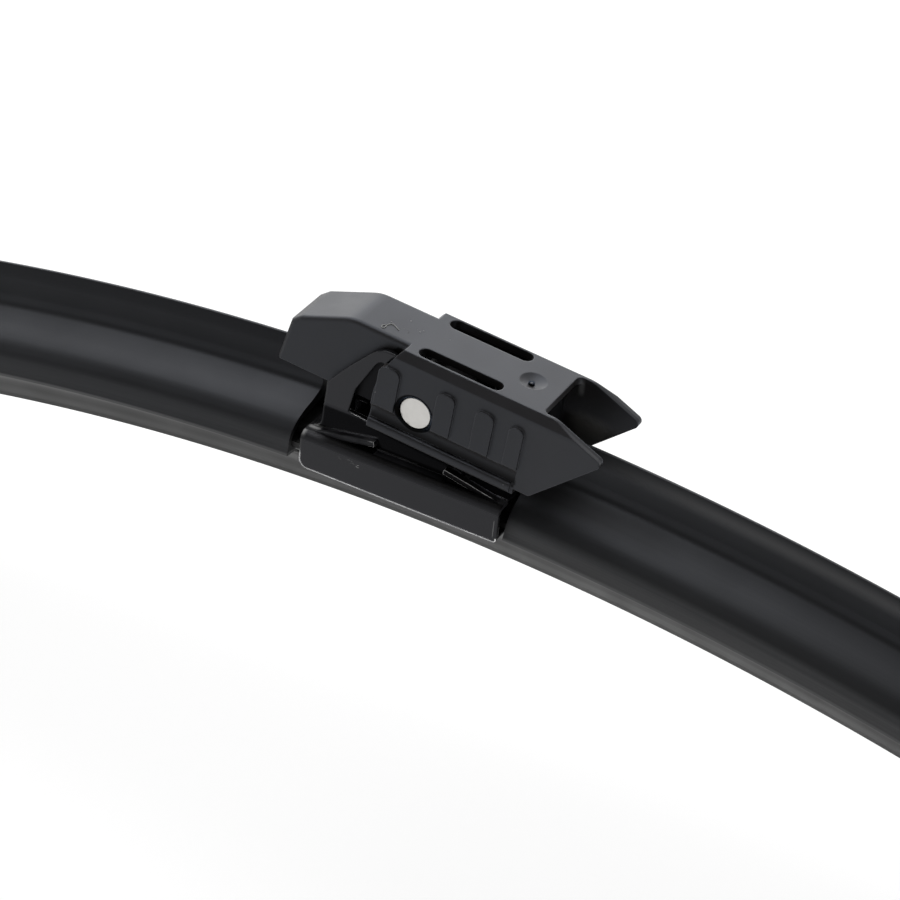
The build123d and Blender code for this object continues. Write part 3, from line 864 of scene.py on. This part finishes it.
def bow_sweep_tree():
    """A closed section carried along the bow between two angles, with its two end faces."""
    tree, given, made = new_shape_tree(
        "section along the bow",
        [
            ("Bow Centre", "NodeSocketFloat"),
            ("Start Angle", "NodeSocketFloat"),
            ("End Angle", "NodeSocketFloat"),
            ("End Slant", "NodeSocketFloat"),
            ("Steps", "NodeSocketInt"),
            ("Material", "NodeSocketMaterial"),
        ],
    )
    section = given.outputs["Geometry"]
    centre, start, end, slant, steps = (
        given.outputs[label] for label in ("Bow Centre", "Start Angle", "End Angle", "End Slant", "Steps")
    )
    size = add_node(tree, "GeometryNodeAttributeDomainSize", component="MESH")
    tree_link(tree, section, size.inputs["Geometry"])
    corners = size.outputs["Point Count"]
    rows = math_node(tree, "ADD", steps, 1.0)
    skin = add_node(tree, "GeometryNodeMeshGrid")
    tree_link(tree, math_node(tree, "ADD", corners, 1.0), skin.inputs["Vertices X"])
    tree_link(tree, rows, skin.inputs["Vertices Y"])
    index = add_node(tree, "GeometryNodeInputIndex").outputs["Index"]
    column = math_node(tree, "FLOOR", math_node(tree, "DIVIDE", index, rows))
    share = math_node(tree, "DIVIDE", math_node(tree, "MODULO", index, rows), steps)
    place = add_node(tree, "GeometryNodeInputPosition").outputs["Position"]
    corner = add_node(tree, "GeometryNodeSampleIndex", data_type="FLOAT_VECTOR", domain="POINT")
    tree_link(tree, section, corner.inputs["Geometry"])
    tree_link(tree, place, corner.inputs["Value"])
    tree_link(tree, math_node(tree, "MODULO", column, corners), corner.inputs["Index"])
    reach = math_node(tree, "SUBTRACT", slanted_end(tree, corner.outputs["Value"], end, slant), start)
    angle = math_node(tree, "ADD", start, math_node(tree, "MULTIPLY", reach, share))
    join = add_node(tree, "GeometryNodeJoinGeometry")
    for piece in (
        moved(tree, skin.outputs["Mesh"], turned_place(tree, corner.outputs["Value"], angle, centre)),
        moved(tree, section, turned_place(tree, place, start, centre)),
        moved(tree, section, turned_place(tree, place, slanted_end(tree, place, end, slant), centre)),
    ):
        tree_link(tree, piece, join.inputs["Geometry"])
    merge = add_node(tree, "GeometryNodeMergeByDistance")
    merge.inputs["Distance"].default_value = weld_reach
    tree_link(tree, join.outputs["Geometry"], merge.inputs["Geometry"])
    finish_tree(tree, given, made, merge.outputs["Geometry"])
    return tree


def fibre_tree():
    """A thin round fibre along a curve."""
    tree, given, made = new_shape_tree(
        "fibre along a curve",
        [("Thickness", "NodeSocketFloat"), ("Material", "NodeSocketMaterial")],
    )
    ring = add_node(tree, "GeometryNodeCurvePrimitiveCircle")
    ring.inputs["Resolution"].default_value = 6
    tree_link(tree, math_node(tree, "MULTIPLY", given.outputs["Thickness"], 0.5), ring.inputs["Radius"])
    tube = add_node(tree, "GeometryNodeCurveToMesh")
    tube.inputs["Fill Caps"].default_value = True
    tree_link(tree, given.outputs["Geometry"], tube.inputs["Curve"])
    tree_link(tree, ring.outputs["Curve"], tube.inputs["Profile Curve"])
    finish_tree(tree, given, made, tube.outputs["Mesh"])
    return tree


def speck_tree():
    """Small lumps of uneven size on given points."""
    tree, given, made = new_shape_tree(
        "specks on points",
        [("Size", "NodeSocketFloat"), ("Seed", "NodeSocketInt"), ("Material", "NodeSocketMaterial")],
    )
    lump = add_node(tree, "GeometryNodeMeshIcoSphere")
    lump.inputs["Subdivisions"].default_value = 1
    tree_link(tree, math_node(tree, "MULTIPLY", given.outputs["Size"], 0.5), lump.inputs["Radius"])
    uneven = add_node(tree, "FunctionNodeRandomValue", data_type="FLOAT_VECTOR")
    uneven.inputs[0].default_value = (0.5, 0.5, 0.5)
    uneven.inputs[1].default_value = (1.6, 1.1, 0.8)
    tree_link(tree, given.outputs["Seed"], uneven.inputs["Seed"])
    spread = add_node(tree, "GeometryNodeInstanceOnPoints")
    tree_link(tree, given.outputs["Geometry"], spread.inputs["Points"])
    tree_link(tree, lump.outputs["Mesh"], spread.inputs["Instance"])
    tree_link(tree, uneven.outputs["Value"], spread.inputs["Scale"])
    finish_tree(tree, given, made, spread.outputs["Instances"])
    return tree


def shaped_piece(name, data, tree, **values):
    """A plain mesh object at the origin: what a shape tree makes of the given mesh or curve."""
    source = bpy.data.objects.new(name + "_source", data)
    bpy.context.collection.objects.link(source)
    modifier = source.modifiers.new("shape", "NODES")
    modifier.node_group = tree
    for item in tree.interface.items_tree:
        label = item.name.lower().replace(" ", "_")
        if item.in_out == "INPUT" and label in values:
            modifier[item.identifier] = values[label]
    graph = bpy.context.evaluated_depsgraph_get()
    mesh = bpy.data.meshes.new_from_object(source.evaluated_get(graph), depsgraph=graph)
    source.modifiers.remove(modifier)
    bpy.data.objects.remove(source)
    work = bmesh.new()
    work.from_mesh(mesh)
    bmesh.ops.recalc_face_normals(work, faces=work.faces)
    work.to_mesh(mesh)
    work.free()
    mesh.set_sharp_from_angle(angle=sharp_bend)
    piece = bpy.data.objects.new(name, mesh)
    bpy.context.collection.objects.link(piece)
    return piece


def rounded_outline(corners):
    """Points of a closed outline in metres, its corners rounded by arcs."""
    places = [Vector((across, height)) * MM for across, height, _ in corners]
    outline = []
    for number, (_, _, radius) in enumerate(corners):
        corner = places[number]
        before = (places[number - 1] - corner).normalized()
        after = (places[(number + 1) % len(places)] - corner).normalized()
        if radius == 0.0:
            outline.append(corner)
            continue
        opening = acos(max(-1.0, min(1.0, before.dot(after))))
        reach = radius * MM / tan(opening / 2)
        centre = corner + (before + after).normalized() * (radius * MM / sin(opening / 2))
        first = corner + before * reach - centre
        last = corner + after * reach - centre
        sweep = pi - opening
        steps = max(2, ceil(sweep / arc_step))
        for step in range(steps + 1):
            share = step / steps
            arm = (first * sin((1 - share) * sweep) + last * sin(share * sweep)) / sin(sweep)
            outline.append(centre + arm)
    return outline


def section_mesh(name, corners):
    """One flat face across the blade at the crown of the bow."""
    outline = rounded_outline(corners)
    mesh = bpy.data.meshes.new(name)
    mesh.from_pydata([(0.0, place.x, place.y) for place in outline], [], [range(len(outline))])
    return mesh


def bowed_piece(name, corners, start, end, steps, slot, slant=0.0, stands_for=None):
    """A piece of the blade swept along the bow between two lengths, in place of a solid if named."""
    piece = shaped_piece(
        name,
        section_mesh(name + "_section", corners),
        BOW_SWEEP,
        bow_centre=bow_centre,
        start_angle=start / bow_radius,
        end_angle=end / bow_radius,
        end_slant=tan(slant) / bow_radius,
        steps=steps,
        material=finishes[slot],
    )
    if stands_for:
        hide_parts(stands_for)
    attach(piece, "blade")


def on_adapter(spot, lift):
    """A place on the adapter's flat top, turned from the adapter's axes to its rest tilt."""
    along, across = spot
    height = plate_top + lift
    return Vector((
        along * MM * cos(adapter_tilt) + height * sin(adapter_tilt),
        across * MM,
        height * cos(adapter_tilt) - along * MM * sin(adapter_tilt),
    ))


def dust_on_adapter():
    """The curled fibre and the specks that lie on the adapter's top."""
    curve = bpy.data.curves.new("fibre_line", "CURVE")
    curve.dimensions = "3D"
    spline = curve.splines.new("NURBS")
    spline.points.add(len(fibre_line) - 1)
    for point, place in zip(spline.points, fibre_line):
        point.co = (*on_adapter(place, 0.4 * fibre_thickness), 1.0)
    spline.order_u = 3
    spline.use_endpoint_u = True
    fibre = shaped_piece("dust_fibre", curve, fibre_tree(), thickness=fibre_thickness, material=DUST)
    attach(fibre, "adapter")
    mesh = bpy.data.meshes.new("speck_places")
    mesh.from_pydata([on_adapter(place, 0.0) for place in top_specks], [], [])
    specks = shaped_piece(
        "dust_specks", mesh, speck_tree(), size=speck_size, seed=speck_seed, material=DUST
    )
    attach(specks, "adapter")


BOW_SWEEP = bow_sweep_tree()
DUST = dust_fluff()
rubber_section = rubber_half_section + tuple((-y, z, r) for y, z, r in reversed(rubber_half_section))
bowed_piece(
    "spoiler_left_sweep",
    spoiler_section,
    -spoiler_far_end,
    spoiler_left_end,
    spoiler_rows,
    "spoiler_rubber",
    slant=spoiler_left_slant,
    stands_for="spoiler_left",
)
bowed_piece(
    "spoiler_right_sweep",
    spoiler_section,
    spoiler_right_end,
    spoiler_far_end,
    spoiler_rows,
    "spoiler_rubber",
    stands_for="spoiler_right",
)
bowed_piece(
    "wiping_rubber_sweep",
    rubber_section,
    -rail_reach,
    rail_reach,
    rubber_rows,
    "wiper_rubber",
    stands_for="wiping_rubber",
)
bowed_piece(
    "spoiler_left_lug",
    lug_section,
    spoiler_left_end,
    spoiler_left_end + lug_reach,
    lug_rows,
    "spoiler_rubber",
)
dust_on_adapter()


def seen_rays(tree):
    """A value that is on for rays from the camera, from mirrors and through glass."""
    rays = add_node(tree, "ShaderNodeLightPath")
    kinds = ("Is Camera Ray", "Is Glossy Ray", "Is Transmission Ray")
    return any_of(tree, *(rays.outputs[kind] for kind in kinds))


def make_floor():
    """Pale floor under the blade's tips, white where it is seen, with the object's shadow on it."""
    lowest = cad_box[0][2]
    bpy.ops.mesh.primitive_plane_add(size=floor_size, location=(0, 0, lowest - floor_gap))
    floor = bpy.context.object
    floor.name = "floor"
    material, tree, shader = new_material("floor")
    shader.inputs["Base Color"].default_value = (*grey(floor_tone), 1.0)
    shader.inputs["Roughness"].default_value = 0.9
    shader.inputs["Specular IOR Level"].default_value = 0.0
    shader.inputs["Emission Color"].default_value = (1.0, 1.0, 1.0, 1.0)
    glow = math_node(tree, "MULTIPLY", seen_rays(tree), floor_glow)
    tree_link(tree, glow, shader.inputs["Emission Strength"])
    floor.data.materials.append(material)


def make_world():
    """White surround where it is seen, dim as light, with a dark room above the camera."""
    world = bpy.data.worlds.new("studio")
    world.use_nodes = True
    tree = world.node_tree
    background = tree.nodes["Background"]
    way = add_node(tree, "ShaderNodeSeparateXYZ")
    tree_link(tree, add_node(tree, "ShaderNodeTexCoord").outputs["Generated"], way.inputs[0])
    front = map_range(tree, way.outputs["Y"], -0.12, -0.55)
    above = map_range(tree, way.outputs["Z"], 0.1, 0.4)
    room = mix_colour(tree, all_of(tree, front, above), grey(1.0), grey(room_dark))
    tree_link(tree, room, background.inputs["Color"])
    strength = map_range(tree, seen_rays(tree), 0.0, 1.0, room_light, 1.0)
    tree_link(tree, strength, background.inputs["Strength"])
    bpy.context.scene.world = world


def area_light(name, place, size, power):
    """A soft square lamp aimed at the origin."""
    lamp = bpy.data.lights.new(name, "AREA")
    lamp.shape = "RECTANGLE"
    lamp.size, lamp.size_y = size
    lamp.energy = power
    lamp_object = bpy.data.objects.new(name, lamp)
    bpy.context.collection.objects.link(lamp_object)
    lamp_object.location = place
    lamp_object.rotation_euler = (-Vector(place)).to_track_quat("-Z", "Y").to_euler()


def make_camera():
    """The photograph's camera: round the object, up, and rolled."""
    azimuth = radians(camera_azimuth)
    elevation = radians(camera_elevation)
    back = Vector((sin(azimuth) * cos(elevation), -cos(azimuth) * cos(elevation), sin(elevation)))
    level = Vector((0, 0, 1)).cross(back).normalized()
    upright = back.cross(level)
    turn = radians(camera_roll)
    right = level * cos(turn) + upright * sin(turn)
    up = back.cross(right)
    camera = bpy.data.cameras.new("camera")
    camera.lens = camera_lens
    camera.sensor_width = camera_sensor
    camera.clip_start = 0.01
    camera.clip_end = 20.0
    camera_object = bpy.data.objects.new("camera", camera)
    bpy.context.collection.objects.link(camera_object)
    turned = Matrix((right, up, back)).transposed().to_4x4()
    camera_object.matrix_world = Matrix.Translation(camera_aim + back * camera_distance) @ turned
    bpy.context.scene.camera = camera_object


make_floor()
make_world()
for lamp in lamps:
    area_light(*lamp)
make_camera()
bpy.context.scene.view_settings.view_transform = "Standard"
